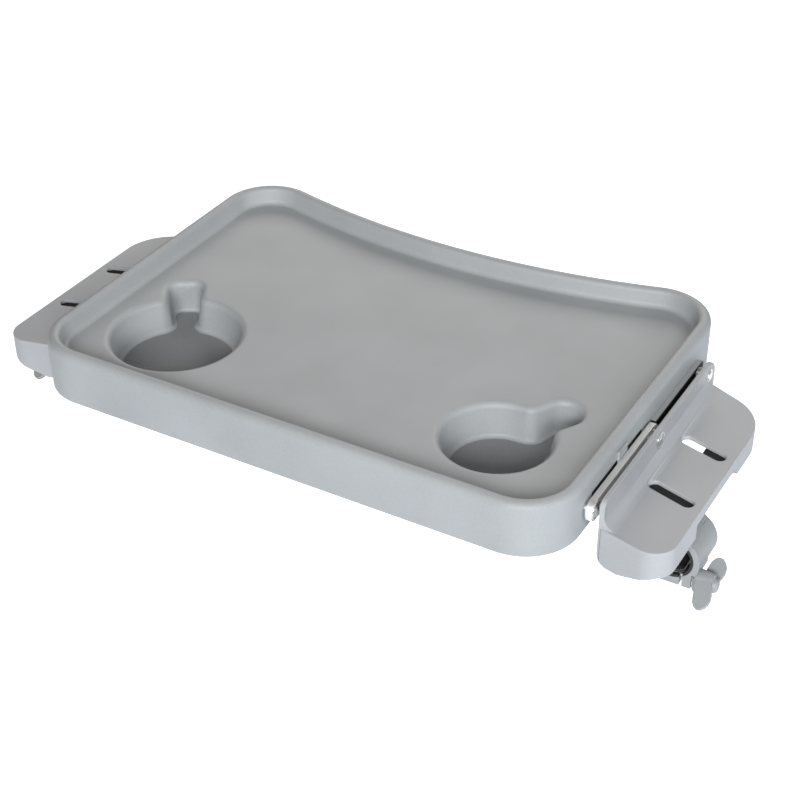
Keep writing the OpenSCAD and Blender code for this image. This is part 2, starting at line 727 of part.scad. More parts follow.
module clamp_body() color(plastic) difference() {
    union() {
        difference() {
            at_tube() along_y(jaw_front_y, jaw_rear_y) difference() {
                union() {
                    circle(r = jaw_r, $fn = 96);
                    translate([-base_half, base_z - tube_z])
                        square([base_half + slit_in, tube_z - base_z - base_top]);
                    translate([-neck_half, 0]) square([2*neck_half, foot_bottom + over - tube_z]);
                }
                outer_share(hinge_turn + hinge_gap_turn, slit_in);
            }
        }
        for (y = [jaw_front_y, jaw_rear_y - knuckle_l]) hinge_rod(knuckle_r, y, y + knuckle_l);
        translate([foot_x, tube_y - foot_l/2, foot_bottom]) cube([foot_w, foot_l, foot_t]);
        translate([tube_x - base_half - nut_t - over, bolt_y - nut_lug_l/2,
                   bolt_z + nut_r*cos(30) + nut_gap])
            cube([nut_t + 2*over, nut_lug_l, nut_r]);
    }
    rod_y(seat_r, jaw_front_y - over, jaw_rear_y + over, tube_x, tube_z);
    hinge_rod(knuckle_r + knuckle_gap, jaw_front_y + knuckle_l, jaw_rear_y - knuckle_l);
    hinge_rod(jaw_pin_r + seat_fit, jaw_front_y - over, jaw_rear_y + over);
    rod_x(bolt_r + side_gap/2, tube_x - base_half - over, tube_x + slit_in + over, bolt_y, bolt_z);
    for (i = [0, 1]) {
        rod_z(boss_r + boss_room, boss_bottom, foot_top + over, screw_x, screw_y(i));
        rod_z(screw_r + seat_fit, foot_bottom - over, boss_bottom + over, screw_x, screw_y(i));
    }
}

module clamp_jaw() color(plastic) difference() {
    union() {
        at_tube() along_y(jaw_front_y, jaw_rear_y) intersection() {
            union() {
                circle(r = jaw_r, $fn = 96);
                translate([0, base_z - tube_z]) square([base_out, tube_z - base_z - base_top]);
            }
            outer_share(hinge_turn - hinge_gap_turn, slit_out);
        }
        hinge_rod(knuckle_r, jaw_front_y + knuckle_l + knuckle_gap, jaw_rear_y - knuckle_l - knuckle_gap);
    }
    rod_y(seat_r, jaw_front_y - over, jaw_rear_y + over, tube_x, tube_z);
    hinge_rod(knuckle_r + knuckle_gap, jaw_front_y - over, jaw_front_y + knuckle_l + knuckle_gap);
    hinge_rod(knuckle_r + knuckle_gap, jaw_rear_y - knuckle_l - knuckle_gap, jaw_rear_y + over);
    hinge_rod(jaw_pin_r + run_fit, jaw_front_y - over, jaw_rear_y + over);
    rod_x(bolt_r + jaw_bolt_room, tube_x, tube_x + base_out + over, bolt_y, bolt_z);
    rod_x(spot_r, tube_x + base_out, tube_x + jaw_r + over, bolt_y, bolt_z);
}

module clamp_screws() color(steel) for (i = [0, 1]) {
    rod_z(screw_head_r, foot_bottom - screw_head_t, foot_bottom, screw_x, screw_y(i));
    rod_z(screw_r, foot_bottom - screw_head_t/2, shelf_z - screw_cover, screw_x, screw_y(i));
}

// Rubber liner of one jaw, cut away where the bolt passes under the tube
module liner(turns) color(rubber) difference() {
    translate([tube_x, jaw_rear_y, tube_z]) rotate([90, 0, 0]) rotate([0, 0, turns[0]])
        rotate_extrude(angle = turns[1] - turns[0], $fn = 96)
            translate([grip_r, 0]) square([liner_t, clamp_l]);
    translate([tube_x - liner_window, bolt_y - liner_window_l/2, tube_z - jaw_r])
        cube([2*liner_window, liner_window_l, jaw_r - base_top]);
    hinge_rod(knuckle_r + knuckle_gap, jaw_front_y - over, jaw_rear_y + over);
}

module jaw_pin() color(steel) hinge_rod(jaw_pin_r, jaw_front_y, jaw_rear_y);

module clamp_nut() color(zinc) difference() {
    translate([tube_x - base_half - nut_t, bolt_y, bolt_z]) rotate([0, 90, 0]) rotate([0, 0, 30])
        cylinder(r = nut_r, h = nut_t, $fn = 6);
    rod_x(bolt_r + run_fit, tube_x - base_half - nut_t - over, tube_x - base_half + over, bolt_y, bolt_z);
}

module clamp_washer() color(zinc)
    ring_x(clamp_washer_r, bolt_r + run_fit, tube_x + base_out + side_gap,
           tube_x + base_out + side_gap + clamp_washer_t, bolt_y, bolt_z);

module clamp_bolt() color(steel)
    rod_x(bolt_r, tube_x - base_half - bolt_tail, knob_x + bolt_grip, bolt_y, bolt_z);

module wing_knob() color(plastic) translate([knob_x, bolt_y, bolt_z]) difference() {
    union() {
        rotate([0, 90, 0]) rotate_extrude() polygon(concat(
            [[0, 0], [hub_r, 0], [hub_r, hub_step]],
            arc(hub_nose_r - hub_round, hub_l - hub_round, hub_round, 0, 90),
            [[0, hub_l]]
        ));
        for (turn = [wing_turn, wing_turn + 180]) rotate([turn, 0, 0])
            translate([0, 0, -wing_t/2]) linear_extrude(wing_t) polygon(concat(
                [[lobe_foot, 0], [lobe_foot, lobe_foot_up]],
                arc(lobe_mid, wing_reach - lobe_r, lobe_r, 160, -10, 0, 12),
                [[lobe_outer, lobe_foot_up], [hub_l - hub_round, 0]]
            ));
    }
    rod_x(bolt_r + seat_fit, -over, bolt_grip + seat_fit, 0, 0);
}

tray_shell();
guide_pad();  // guide_pad_right
left_side() guide_pad();  // guide_pad_left
slide_rail();  // slide_rail_right
left_side() slide_rail();  // slide_rail_left
rail_screws();  // rail_screws_right
left_side() rail_screws();  // rail_screws_left
link_bar();  // link_bar_right
left_side() link_bar();  // link_bar_left
pivot_washer();  // pivot_washer_right
left_side() pivot_washer();  // pivot_washer_left
front_rivet();  // front_rivet_right
left_side() front_rivet();  // front_rivet_left
middle_rivet();  // middle_rivet_right
left_side() middle_rivet();  // middle_rivet_left
link_spacer();  // link_spacer_right
left_side() link_spacer();  // link_spacer_left
slide_pin();  // slide_pin_right
left_side() slide_pin();  // slide_pin_left
pin_bushing();  // pin_bushing_right
left_side() pin_bushing();  // pin_bushing_left
bracket();  // bracket_right
left_side() bracket();  // bracket_left
shelf_pad();  // shelf_pad_right
left_side() shelf_pad();  // shelf_pad_left
clamp_gasket();  // clamp_gasket_right
left_side() clamp_gasket();  // clamp_gasket_left
clamp_body();  // clamp_body_right
left_side() clamp_body();  // clamp_body_left
clamp_screws();  // clamp_screws_right
left_side() clamp_screws();  // clamp_screws_left
clamp_jaw();  // clamp_jaw_right
left_side() clamp_jaw();  // clamp_jaw_left
liner(fixed_liner_turns);  // fixed_liner_right
left_side() liner(fixed_liner_turns);  // fixed_liner_left
liner(moving_liner_turns);  // moving_liner_right
left_side() liner(moving_liner_turns);  // moving_liner_left
jaw_pin();  // jaw_pin_right
left_side() jaw_pin();  // jaw_pin_left
clamp_nut();  // clamp_nut_right
left_side() clamp_nut();  // clamp_nut_left
clamp_washer();  // clamp_washer_right
left_side() clamp_washer();  // clamp_washer_left
clamp_bolt();  // clamp_bolt_right
left_side() clamp_bolt();  // clamp_bolt_left
wing_knob();  // wing_knob_right
left_side() wing_knob();  // wing_knob_left
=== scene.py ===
# %% [markdown]
# A walker tray: a moulded plastic tray with two cup wells, carried on each side by a
# steel link and a bracket with a ring clamp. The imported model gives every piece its
# place, and this lesson gives each piece its finished shape and surface.

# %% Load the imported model
import json
import math

import bmesh
import bpy
from mathutils import Matrix, Vector
from mathutils.geometry import tessellate_polygon


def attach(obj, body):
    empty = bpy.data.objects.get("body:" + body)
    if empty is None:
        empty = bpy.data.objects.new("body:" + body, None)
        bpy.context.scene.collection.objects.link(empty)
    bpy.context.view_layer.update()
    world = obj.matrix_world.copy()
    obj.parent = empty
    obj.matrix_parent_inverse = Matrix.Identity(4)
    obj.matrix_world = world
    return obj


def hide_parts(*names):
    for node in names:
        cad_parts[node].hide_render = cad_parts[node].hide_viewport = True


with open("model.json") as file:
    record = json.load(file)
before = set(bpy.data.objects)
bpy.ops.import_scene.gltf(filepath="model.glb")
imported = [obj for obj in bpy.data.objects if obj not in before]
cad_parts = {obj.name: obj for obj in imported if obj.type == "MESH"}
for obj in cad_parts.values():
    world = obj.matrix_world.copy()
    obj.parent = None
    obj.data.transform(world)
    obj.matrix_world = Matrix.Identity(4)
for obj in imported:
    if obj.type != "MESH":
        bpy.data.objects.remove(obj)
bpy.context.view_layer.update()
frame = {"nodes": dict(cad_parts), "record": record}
MM = 0.001

# %% [markdown]
# The camera comes first, because every comparison with the photograph depends on it.
# It stands in front of the tray and to the right, about 35 degrees above it. The lens
# is long for the distance, so lines that run away close in only a little.

# %% Camera
AZIMUTH, ELEVATION, ROLL = math.radians(30.2), math.radians(34.565), math.radians(-0.531)
CAMERA_PLACE = Vector((0.505712, -0.850913, 0.622564))
LENS, SENSOR = 74.25, 36


def camera_at(place, azimuth, elevation, roll):
    back = Vector((math.sin(azimuth) * math.cos(elevation),
                   -math.cos(azimuth) * math.cos(elevation), math.sin(elevation)))
    level = Vector((math.cos(azimuth), math.sin(azimuth), 0))
    above = back.cross(level)
    right = math.cos(roll) * level + math.sin(roll) * above
    up = -math.sin(roll) * level + math.cos(roll) * above
    data = bpy.data.cameras.new("camera")
    data.lens, data.sensor_width = LENS, SENSOR
    data.clip_start, data.clip_end = 0.05, 30
    camera = bpy.data.objects.new("camera", data)
    bpy.context.scene.collection.objects.link(camera)
    turn = Matrix((right, up, back)).transposed()
    camera.matrix_world = Matrix.Translation(place) @ turn.to_4x4()
    bpy.context.scene.camera = camera
    return camera


camera = camera_at(CAMERA_PLACE, AZIMUTH, ELEVATION, ROLL)
print("camera at", [round(c, 3) for c in camera.location])

# %% [markdown]
# Colours are written as they look on a screen, as hex values. Blender's shaders work in
# linear light, so one function turns them. A second small function adds a node, sets its
# values and joins its links, and every material is built with it.

# %% Colour and node helpers
def linear(hex_colour):
    parts = [int(hex_colour[i:i + 2], 16) / 255 for i in (1, 3, 5)]
    return [c / 12.92 if c <= 0.04045 else ((c + 0.055) / 1.055) ** 2.4 for c in parts] + [1.0]


def add(tree, kind, values=None, links=None, stops=(), **settings):
    """Adds a node. values sets its sockets, links joins them to (node, output), stops
    are the places and colours of a colour ramp, and settings are the node's own."""
    node = tree.nodes.new(kind)
    for name, value in settings.items():
        setattr(node, name, value)
    for name, value in (values or {}).items():
        node.inputs[name].default_value = value
    for name, (source, output) in (links or {}).items():
        tree.links.new(source.outputs[output], node.inputs[name])
    for i, (position, colour) in enumerate(stops):
        elements = node.color_ramp.elements
        element = elements[i] if i < len(elements) else elements.new(position)
        element.position, element.color = position, linear(colour)
    return node


def new_material(name):
    material = bpy.data.materials.new(name)
    material.use_nodes = True
    material.node_tree.nodes.clear()
    return material, material.node_tree


print("mid grey in linear light:", [round(c, 3) for c in linear("#808080")])

# %% [markdown]
# The tray and its brackets are injection-moulded ABS in a light cool grey. The mould has
# a spark-eroded grain, which breaks the gloss into a soft even sheen. The real grain is
# about 0.1 mm wide, too fine to show from here, so it is drawn at about 0.5 mm. Faint
# clouds 60 mm wide stand for the flow of the melt. The bases of the wells have a coarser,
# duller grain that keeps a cup from sliding, and their darker colour is painted shade for
# the deep wells. The clamps and knobs are a tougher nylon, slightly darker.

# %% Moulded ABS
CLOUD_SIZE = 60 * MM


def moulded_abs(name, colour, darker, lighter, grain_mm, roughness):
    material, tree = new_material(name)
    place = add(tree, "ShaderNodeTexCoord")
    grain = add(tree, "ShaderNodeTexNoise",
                {"Scale": 1 / (grain_mm * MM), "Detail": 3.0, "Roughness": 0.6},
                {"Vector": (place, "Object")})
    clouds = add(tree, "ShaderNodeTexNoise", {"Scale": 1 / CLOUD_SIZE, "Detail": 2.0},
                 {"Vector": (place, "Object")})
    grain_colour = add(tree, "ShaderNodeValToRGB", links={"Fac": (grain, "Fac")},
                       stops=[(0.3, darker), (0.5, colour), (0.72, lighter)])
    cloud_colour = add(tree, "ShaderNodeValToRGB", links={"Fac": (clouds, "Fac")},
                       stops=[(0.3, "#f4f4f4"), (0.7, "#ffffff")])
    # The colour sockets of a Mix node share their names with others, so they go by number
    tint = add(tree, "ShaderNodeMix", {"Factor": 1.0},
               {6: (grain_colour, "Color"), 7: (cloud_colour, "Color")},
               data_type="RGBA", blend_type="MULTIPLY")
    rough = add(tree, "ShaderNodeMapRange",
                {"To Min": roughness - 0.05, "To Max": roughness + 0.06},
                {"Value": (grain, "Fac")})
    bump = add(tree, "ShaderNodeBump", {"Strength": 0.25, "Distance": 0.05 * MM},
               {"Height": (grain, "Fac")})
    surface = add(tree, "ShaderNodeBsdfPrincipled", {"IOR": 1.53, "Specular IOR Level": 0.4},
                  {"Base Color": (tint, 2), "Roughness": (rough, "Result"),
                   "Normal": (bump, "Normal")})
    add(tree, "ShaderNodeOutputMaterial", links={"Surface": (surface, "BSDF")})
    return material


tray_abs = moulded_abs("moulded_abs_tray", "#a2a4a5", "#9a9c9d", "#aaacad", 0.55, 0.5)
# The wells' bases: a coarser grain, and a darker colour that is painted shade.
shaded_base_abs = moulded_abs("coarse_grained_abs_base_painted_shade", "#87888a", "#7d7e80", "#929395", 0.7, 0.62)
bracket_abs = moulded_abs("moulded_abs_bracket", "#a8a9ab", "#a1a2a4", "#afb0b2", 0.45, 0.47)
clamp_nylon = moulded_abs("moulded_nylon_clamp", "#989a9b", "#919394", "#a0a2a3", 0.4, 0.44)
print("plastics:", [m.name for m in (tray_abs, shaded_base_abs, bracket_abs, clamp_nylon)])

# %% [markdown]
# The links are cold-rolled steel bar, brushed along its length to a bright finish.
# Brushing leaves fine parallel scratches that draw out a reflection, so the pattern is
# noise stretched 40 times along Y, the way the bars lie. Real scratches are under 0.1 mm
# wide, too fine to show, so they are drawn at 0.5 mm.

# %% Brushed steel
def brushed_steel(name, colour, lighter):
    material, tree = new_material(name)
    place = add(tree, "ShaderNodeTexCoord")
    stretch = add(tree, "ShaderNodeMapping", {"Scale": (1.0, 1 / 40, 1.0)},
                  {"Vector": (place, "Object")})
    scratch = add(tree, "ShaderNodeTexNoise",
                  {"Scale": 1 / (0.5 * MM), "Detail": 4.0, "Roughness": 0.7},
                  {"Vector": (stretch, "Vector")})
    tone = add(tree, "ShaderNodeValToRGB", links={"Fac": (scratch, "Fac")},
               stops=[(0.3, colour), (0.7, lighter)])
    rough = add(tree, "ShaderNodeMapRange", {"To Min": 0.42, "To Max": 0.6},
                {"Value": (scratch, "Fac")})
    bump = add(tree, "ShaderNodeBump", {"Strength": 0.2, "Distance": 0.02 * MM},
               {"Height": (scratch, "Fac")})
    surface = add(tree, "ShaderNodeBsdfPrincipled", {"Metallic": 1.0},
                  {"Base Color": (tone, "Color"), "Roughness": (rough, "Result"),
                   "Normal": (bump, "Normal")})
    add(tree, "ShaderNodeOutputMaterial", links={"Surface": (surface, "BSDF")})
    return material


link_steel = brushed_steel("brushed_cold_rolled_steel", "#e6e6e3", "#fbfbf9")
print("steel:", link_steel.name)

# %% [markdown]
# Rivets and screws are nickel-plated steel: a smooth bright metal with faint wear.
# Washers and bushings are zinc-plated, which is a little darker and cloudier. The bath
# leaves clouds 2 or 3 mm wide, so the noise has that size.

# %% Plated steel
def plated_steel(name, colour, darker, roughness, cloud_mm):
    material, tree = new_material(name)
    place = add(tree, "ShaderNodeTexCoord")
    clouds = add(tree, "ShaderNodeTexNoise", {"Scale": 1 / (cloud_mm * MM), "Detail": 3.0},
                 {"Vector": (place, "Object")})
    tone = add(tree, "ShaderNodeValToRGB", links={"Fac": (clouds, "Fac")},
               stops=[(0.3, darker), (0.65, colour)])
    rough = add(tree, "ShaderNodeMapRange",
                {"To Min": roughness - 0.04, "To Max": roughness + 0.1},
                {"Value": (clouds, "Fac")})
    surface = add(tree, "ShaderNodeBsdfPrincipled", {"Metallic": 1.0},
                  {"Base Color": (tone, "Color"), "Roughness": (rough, "Result")})
    add(tree, "ShaderNodeOutputMaterial", links={"Surface": (surface, "BSDF")})
    return material


rivet_nickel = plated_steel("nickel_plated_steel", "#e8e8e6", "#dadad8", 0.2, 3)
washer_zinc = plated_steel("zinc_plated_steel", "#c2c4c6", "#adafb1", 0.3, 2)
print("plated:", rivet_nickel.name, washer_zinc.name)

# %% [markdown]
# The jaw liners and the pads are black EPDM rubber, moulded with a dull skin. Rubber
# takes in nearly all light, so it is dark and rough. Its skin has a grain of about
# 0.1 mm, drawn at 0.4 mm to show. The same function makes a blacker material: a dry-film
# coat in the rails' grooves that also paints shade there, and painted shade alone on the
# rails' outer faces and on the strips beside the links.

# %% Rubber, dry film and painted shade
def dull_black(name, colour, lighter):
    material, tree = new_material(name)
    place = add(tree, "ShaderNodeTexCoord")
    grain = add(tree, "ShaderNodeTexNoise", {"Scale": 1 / (0.4 * MM), "Detail": 2.0},
                {"Vector": (place, "Object")})
    tone = add(tree, "ShaderNodeValToRGB", links={"Fac": (grain, "Fac")},
               stops=[(0.35, colour), (0.7, lighter)])
    bump = add(tree, "ShaderNodeBump", {"Strength": 0.3, "Distance": 0.05 * MM},
               {"Height": (grain, "Fac")})
    surface = add(tree, "ShaderNodeBsdfPrincipled", {"Roughness": 0.7, "IOR": 1.5},
                  {"Base Color": (tone, "Color"), "Normal": (bump, "Normal")})
    add(tree, "ShaderNodeOutputMaterial", links={"Surface": (surface, "BSDF")})
    return material


black_rubber = dull_black("moulded_epdm_rubber", "#131415", "#1e1f20")
# Dry film in the rails' grooves, and painted shade on their outer faces and the strips.
dry_film_and_painted_shade = dull_black("black_dry_film_and_painted_shade", "#08090a", "#0e0f10")
print("blacks:", black_rubber.name, dry_film_and_painted_shade.name)

# %% [markdown]
# The tray is one moulding, and every surface of it follows an outline: the plan of the
# tray outside, and the plan of each well inside. Each outline is a list of points with
# the direction that points away from it, made of arcs that meet without a corner. Moving
# all points along that direction gives a ring at any distance, and stacking rings at
# the heights of a section gives the rim, its wall and the wells with smooth corners.

# %% Plan of the tray
def arc_of(cx, cy, r, start, end, steps, outwards=1):
    made = []
    for i in range(steps + 1):
        a = math.radians(start + (end - start) * i / steps)
        way = Vector((math.cos(a), math.sin(a)))
        made.append((Vector((cx, cy)) + r * way, outwards * way))
    return made


def line_of(start, end, outwards, steps):
    """The points between the two ends of a straight part, without the ends."""
    start, end = Vector(start), Vector(end)
    return [(start + (end - start) * i / steps, Vector(outwards)) for i in range(1, steps)]


# The tray's plan: half its width, its straight edge, and the centres of its six arcs
SIDE_X, FRONT_Y, DEPTH = 202.5, -150.0, 285.4
FRONT_R, REAR_R, BELLY_SAG = 38.7, 39.1, 22.0
FRONT_CX, FRONT_CY = SIDE_X - FRONT_R, FRONT_Y + FRONT_R
REAR_CX, REAR_CY = SIDE_X - REAR_R, FRONT_Y + DEPTH - REAR_R
BELLY_SPAN = (BELLY_SAG ** 2 + REAR_CX ** 2) / (2 * BELLY_SAG)
BELLY_Y = REAR_CY + BELLY_SPAN - BELLY_SAG
BELLY_HALF = math.degrees(math.asin(REAR_CX / BELLY_SPAN))


def tray_outline():
    made = line_of((-FRONT_CX, FRONT_Y), (FRONT_CX, FRONT_Y), (0, -1), 24)
    made += arc_of(FRONT_CX, FRONT_CY, FRONT_R, -90, 0, 20)
    made += line_of((SIDE_X, FRONT_CY), (SIDE_X, REAR_CY), (1, 0), 14)
    made += arc_of(REAR_CX, REAR_CY, REAR_R, 0, 90 + BELLY_HALF, 24)
    made += arc_of(0, BELLY_Y, BELLY_SPAN - REAR_R,
                   270 + BELLY_HALF, 270 - BELLY_HALF, 48, -1)[1:-1]
    made += arc_of(-REAR_CX, REAR_CY, REAR_R, 90 - BELLY_HALF, 180, 24)
    made += line_of((-SIDE_X, REAR_CY), (-SIDE_X, FRONT_CY), (-1, 0), 14)
    made += arc_of(-FRONT_CX, FRONT_CY, FRONT_R, 180, 270, 20)
    return made


print("points round the tray:", len(tray_outline()))

# %% [markdown]
# Each well is a circle for a cup with a notch beside it, where the handle of a mug drops
# in. The cup's wall leans more than the notch's, so every point of the outline also
# carries a share that blends one into the other.

# %% Plans of the wells
CUP_Y, CUP_DEPTH = -75.0, 24.6


def well_outline(cx, r, half, corner_r, reach, turn, blend=9.0):
    """A cup's circle and a notch, and for each point its share in the cup.

    half is half the notch's width, corner_r rounds its end, and blend is the radius of
    the rounds where notch and circle meet. The share is 1 round the cup and falls to 0
    along the notch.
    """
    bx = math.sqrt((r + blend) ** 2 - (half + blend) ** 2)
    swing = math.degrees(math.atan2(half + blend, bx))
    end_x, spread = reach - corner_r, half - corner_r
    local = arc_of(0, 0, r, swing, 360 - swing, 72)
    local += arc_of(bx, -half - blend, blend, 180 - swing, 90, 12, -1)[1:]
    local += line_of((bx, -half), (end_x, -half), (0, -1), 4)
    local += arc_of(end_x, -spread, corner_r, -90, 0, 12)
    local += [(Vector((reach, 0)), Vector((1, 0)))]
    local += arc_of(end_x, spread, corner_r, 0, 90, 12)
    local += line_of((end_x, half), (bx, half), (0, 1), 4)
    local += arc_of(bx, half + blend, blend, 270, 180 + swing, 12, -1)[:-1]

    def share_of(point):
        if point.x <= 0 or abs(point.y) >= half + blend:
            return 1.0
        return min(1.0, max(0.0, 1.3 - (point.length - r) / 12))

    spin = Matrix.Rotation(math.radians(turn), 2)
    return ([(spin @ p + Vector((cx, CUP_Y)), spin @ n) for p, n in local],
            [share_of(p) for p, n in local])


WELLS = [
    well_outline(-129.0, r=46.0, half=12.0, corner_r=8.0, reach=71.0, turn=120),
    well_outline(126.0, r=37.0, half=12.5, corner_r=12.4, reach=65.0, turn=60),
]
print("points round the wells:", [len(well[0]) for well in WELLS])

# %% [markdown]
# The section of the rim is a list of (inset, height) pairs: the fillet at the floor, the
# leaning inner wall, the two round shoulders, the outer face, the foot, and the same
# shape again one wall thickness further in. Small arcs are stepped finely enough that
# the shading looks round. Each section ends in a short flat step, which keeps the smooth
# shading of its curve off the flat face beyond.

# %% The tray's sections
def arc_section(u, z, r, start, end, steps):
    return [(u + r * math.cos(math.radians(start + (end - start) * i / steps)),
             z + r * math.sin(math.radians(start + (end - start) * i / steps)))
            for i in range(steps + 1)]


WALL, FLOOR_T, FOOT_Z = 2.6, 3.0, -27.0
RIM_W, RIM_H, INNER_R, LEAN, FILLET = 9.1, 13.0, 3.8, 12.0, 4.0
EDGE_R, INNER_EDGE_R = 0.9, 0.4
FLAT_STEP, UNDER_STEP = 0.8, 1.6
OUTER_R = RIM_W - INNER_R
SHOULDER_Z, OUTER_Z = RIM_H - INNER_R, RIM_H - OUTER_R
lean = math.radians(LEAN)
run = (SHOULDER_Z + (INNER_R + FILLET) * math.sin(lean) - FILLET) / math.cos(lean)
FILLET_U = OUTER_R + (INNER_R + FILLET) * math.cos(lean) + run * math.sin(lean)
under_run = (SHOULDER_Z + (INNER_R - WALL) * math.sin(lean) + FLOOR_T) / math.cos(lean)
UNDER_U = OUTER_R + (INNER_R - WALL) * math.cos(lean) + under_run * math.sin(lean)

rim_section = (
    # From the floor up over both shoulders, and down the outer face in two steps
    [(FILLET_U + FLAT_STEP, 0.0)]
    + arc_section(FILLET_U, FILLET, FILLET, 270, 180 + LEAN, 8)
    + arc_section(OUTER_R, SHOULDER_Z, INNER_R, LEAN, 90, 8)
    + arc_section(OUTER_R, OUTER_Z, OUTER_R, 90, 180, 10)[1:]
    + [(0.0, -8.0), (0.0, -17.0)]
    # Round the foot, up the inside of the wall, and out under the floor
    + arc_section(EDGE_R, FOOT_Z + EDGE_R, EDGE_R, 180, 270, 4)
    + arc_section(WALL - INNER_EDGE_R, FOOT_Z + INNER_EDGE_R, INNER_EDGE_R, 270, 360, 2)
    + [(WALL, -12.0)]
    + arc_section(OUTER_R, OUTER_Z, OUTER_R - WALL, 180, 90, 5)
    + arc_section(OUTER_R, SHOULDER_Z, INNER_R - WALL, 90, LEAN, 3)[1:]
    + arc_section(UNDER_U + EDGE_R, -FLOOR_T + EDGE_R, EDGE_R, 190, 270, 3)
    + [(UNDER_U + UNDER_STEP, -FLOOR_T)]
)

# The lip's radius, the wall, and for cup and notch how far the wall leans in and how
# round its foot is
LIP_R, CUP_WALL, SHELL_DRAFT = 5.0, 2.4, 2.6
CUP_DRAFT, CUP_FOOT, NOTCH_DRAFT, NOTCH_FOOT = 3.0, 3.0, 0.7, 2.2


def well_section(share):
    """(distance, height) down one point of a well, with a round lip and a round foot."""
    draft = NOTCH_DRAFT + (CUP_DRAFT - NOTCH_DRAFT) * share
    foot = NOTCH_FOOT + (CUP_FOOT - NOTCH_FOOT) * share
    foot_z = foot - CUP_DEPTH
    lip = [(LIP_R + FLAT_STEP, 0.0)] + arc_section(LIP_R, -LIP_R, LIP_R, 90, 180, 8)
    side = [(-draft * t, -LIP_R + (foot_z + LIP_R) * t) for t in (0.33, 0.67)]
    base = arc_section(-draft - foot, foot_z, foot, 0, -90, 6)
    return lip + side + base + [(-draft - foot - FLAT_STEP, -CUP_DEPTH)]


def shell_section(share):
    """The outside of the same well under the floor, down to a chamfered foot."""
    low = CUP_WALL - SHELL_DRAFT * share
    return [(CUP_WALL + UNDER_STEP, -FLOOR_T), (CUP_WALL + 0.5, -FLOOR_T),
            (CUP_WALL, -FLOOR_T - 0.5), (CUP_WALL, -LIP_R), (low, FOOT_Z + 1.0),
            (low - 0.3, FOOT_Z + 0.3), (low - 1.0, FOOT_Z), (low - 1.0 - FLAT_STEP, FOOT_Z)]


print("steps of the rim, well and shell:", len(rim_section), len(well_section(1.0)),
      len(shell_section(1.0)))

# %% [markdown]
# Each step of a section becomes a ring of vertices round the outline, and neighbouring
# rings are joined by faces. Flat faces fill what is left open between rings. These
# helpers serve every piece that is made here.

# %% Rings, flat faces and objects
def join_rings(bm, rings):
    """Four-sided faces between each ring of vertices and the next."""
    for low, high in zip(rings, rings[1:]):
        for i in range(len(low)):
            j = (i + 1) % len(low)
            bm.faces.new((low[i], low[j], high[j], high[i]))


def stack_rings(bm, outline, sections):
    """One ring for each step of the section, with one section for each outline point."""
    rings = []
    for k in range(len(sections[0])):
        rings.append([bm.verts.new((p + n * s[k][0]).to_3d() * MM + Vector((0, 0, s[k][1] * MM)))
                      for (p, n), s in zip(outline, sections)])
    join_rings(bm, rings)
    return rings


def fill_between(bm, outer, holes=()):
    """Flat triangles inside the outer ring and outside the rings of the holes."""
    rings = [outer, *holes]
    flat = [v for ring in rings for v in ring]
    for face in tessellate_polygon([[v.co for v in ring] for ring in rings]):
        bm.faces.new([flat[i] for i in face])


def object_of(bm, name, material, smooth_angle=30):
    """A mesh object with its faces turned outward, smooth but for the sharp edges."""
    bmesh.ops.recalc_face_normals(bm, faces=bm.faces)
    data = bpy.data.meshes.new(name)
    bm.to_mesh(data)
    bm.free()
    piece = bpy.data.objects.new(name, data)
    bpy.context.scene.collection.objects.link(piece)
    data.materials.append(material)
    data.shade_smooth()
    data.set_sharp_from_angle(angle=math.radians(smooth_angle))
    return piece


# %% [markdown]
# The moulding takes the rim's rings, and for each well one stack inside and one under
# the floor. Two flat sheets close it, the floor's top and its underside, each with two
# holes for the wells. The flat bases of the wells get the coarse-grained material, whose
# darker colour is painted shade.

# %% The tray's moulding
def tray_moulding():
    bm = bmesh.new()
    outline = tray_outline()
    rings = stack_rings(bm, outline, [[(-u, z) for u, z in rim_section]] * len(outline))
    top_holes, under_holes = [], []
    for points, share in WELLS:
        inside = stack_rings(bm, points, [well_section(s) for s in share])
        fill_between(bm, inside[-1])
        shell = stack_rings(bm, points, [shell_section(s) for s in share])
        fill_between(bm, shell[-1])
        top_holes.append(inside[0])
        under_holes.append(shell[0])
    fill_between(bm, rings[0], top_holes)
    fill_between(bm, rings[-1], under_holes)
    # The flat bases of the wells take the second material, painted darker as shade.
    for face in bm.faces:
        if all(abs(v.co.z + CUP_DEPTH * MM) < 1e-6 for v in face.verts):
            face.material_index = 1
    piece = object_of(bm, "tray_moulding", tray_abs, 40)
    piece.data.materials.append(shaded_base_abs)
    return piece


tray = tray_moulding()
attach(tray, "tray")
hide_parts("tray_shell")
print("tray faces:", len(tray.data.polygons))

# %% [markdown]
# Under the floor a moulding like this has a grid of thin ribs that keep the floor flat.
# The ribs repeat, so Geometry Nodes make them: a line of points, and a thin bar on each
# point. One tree makes both rows, and its sizes are named inputs.

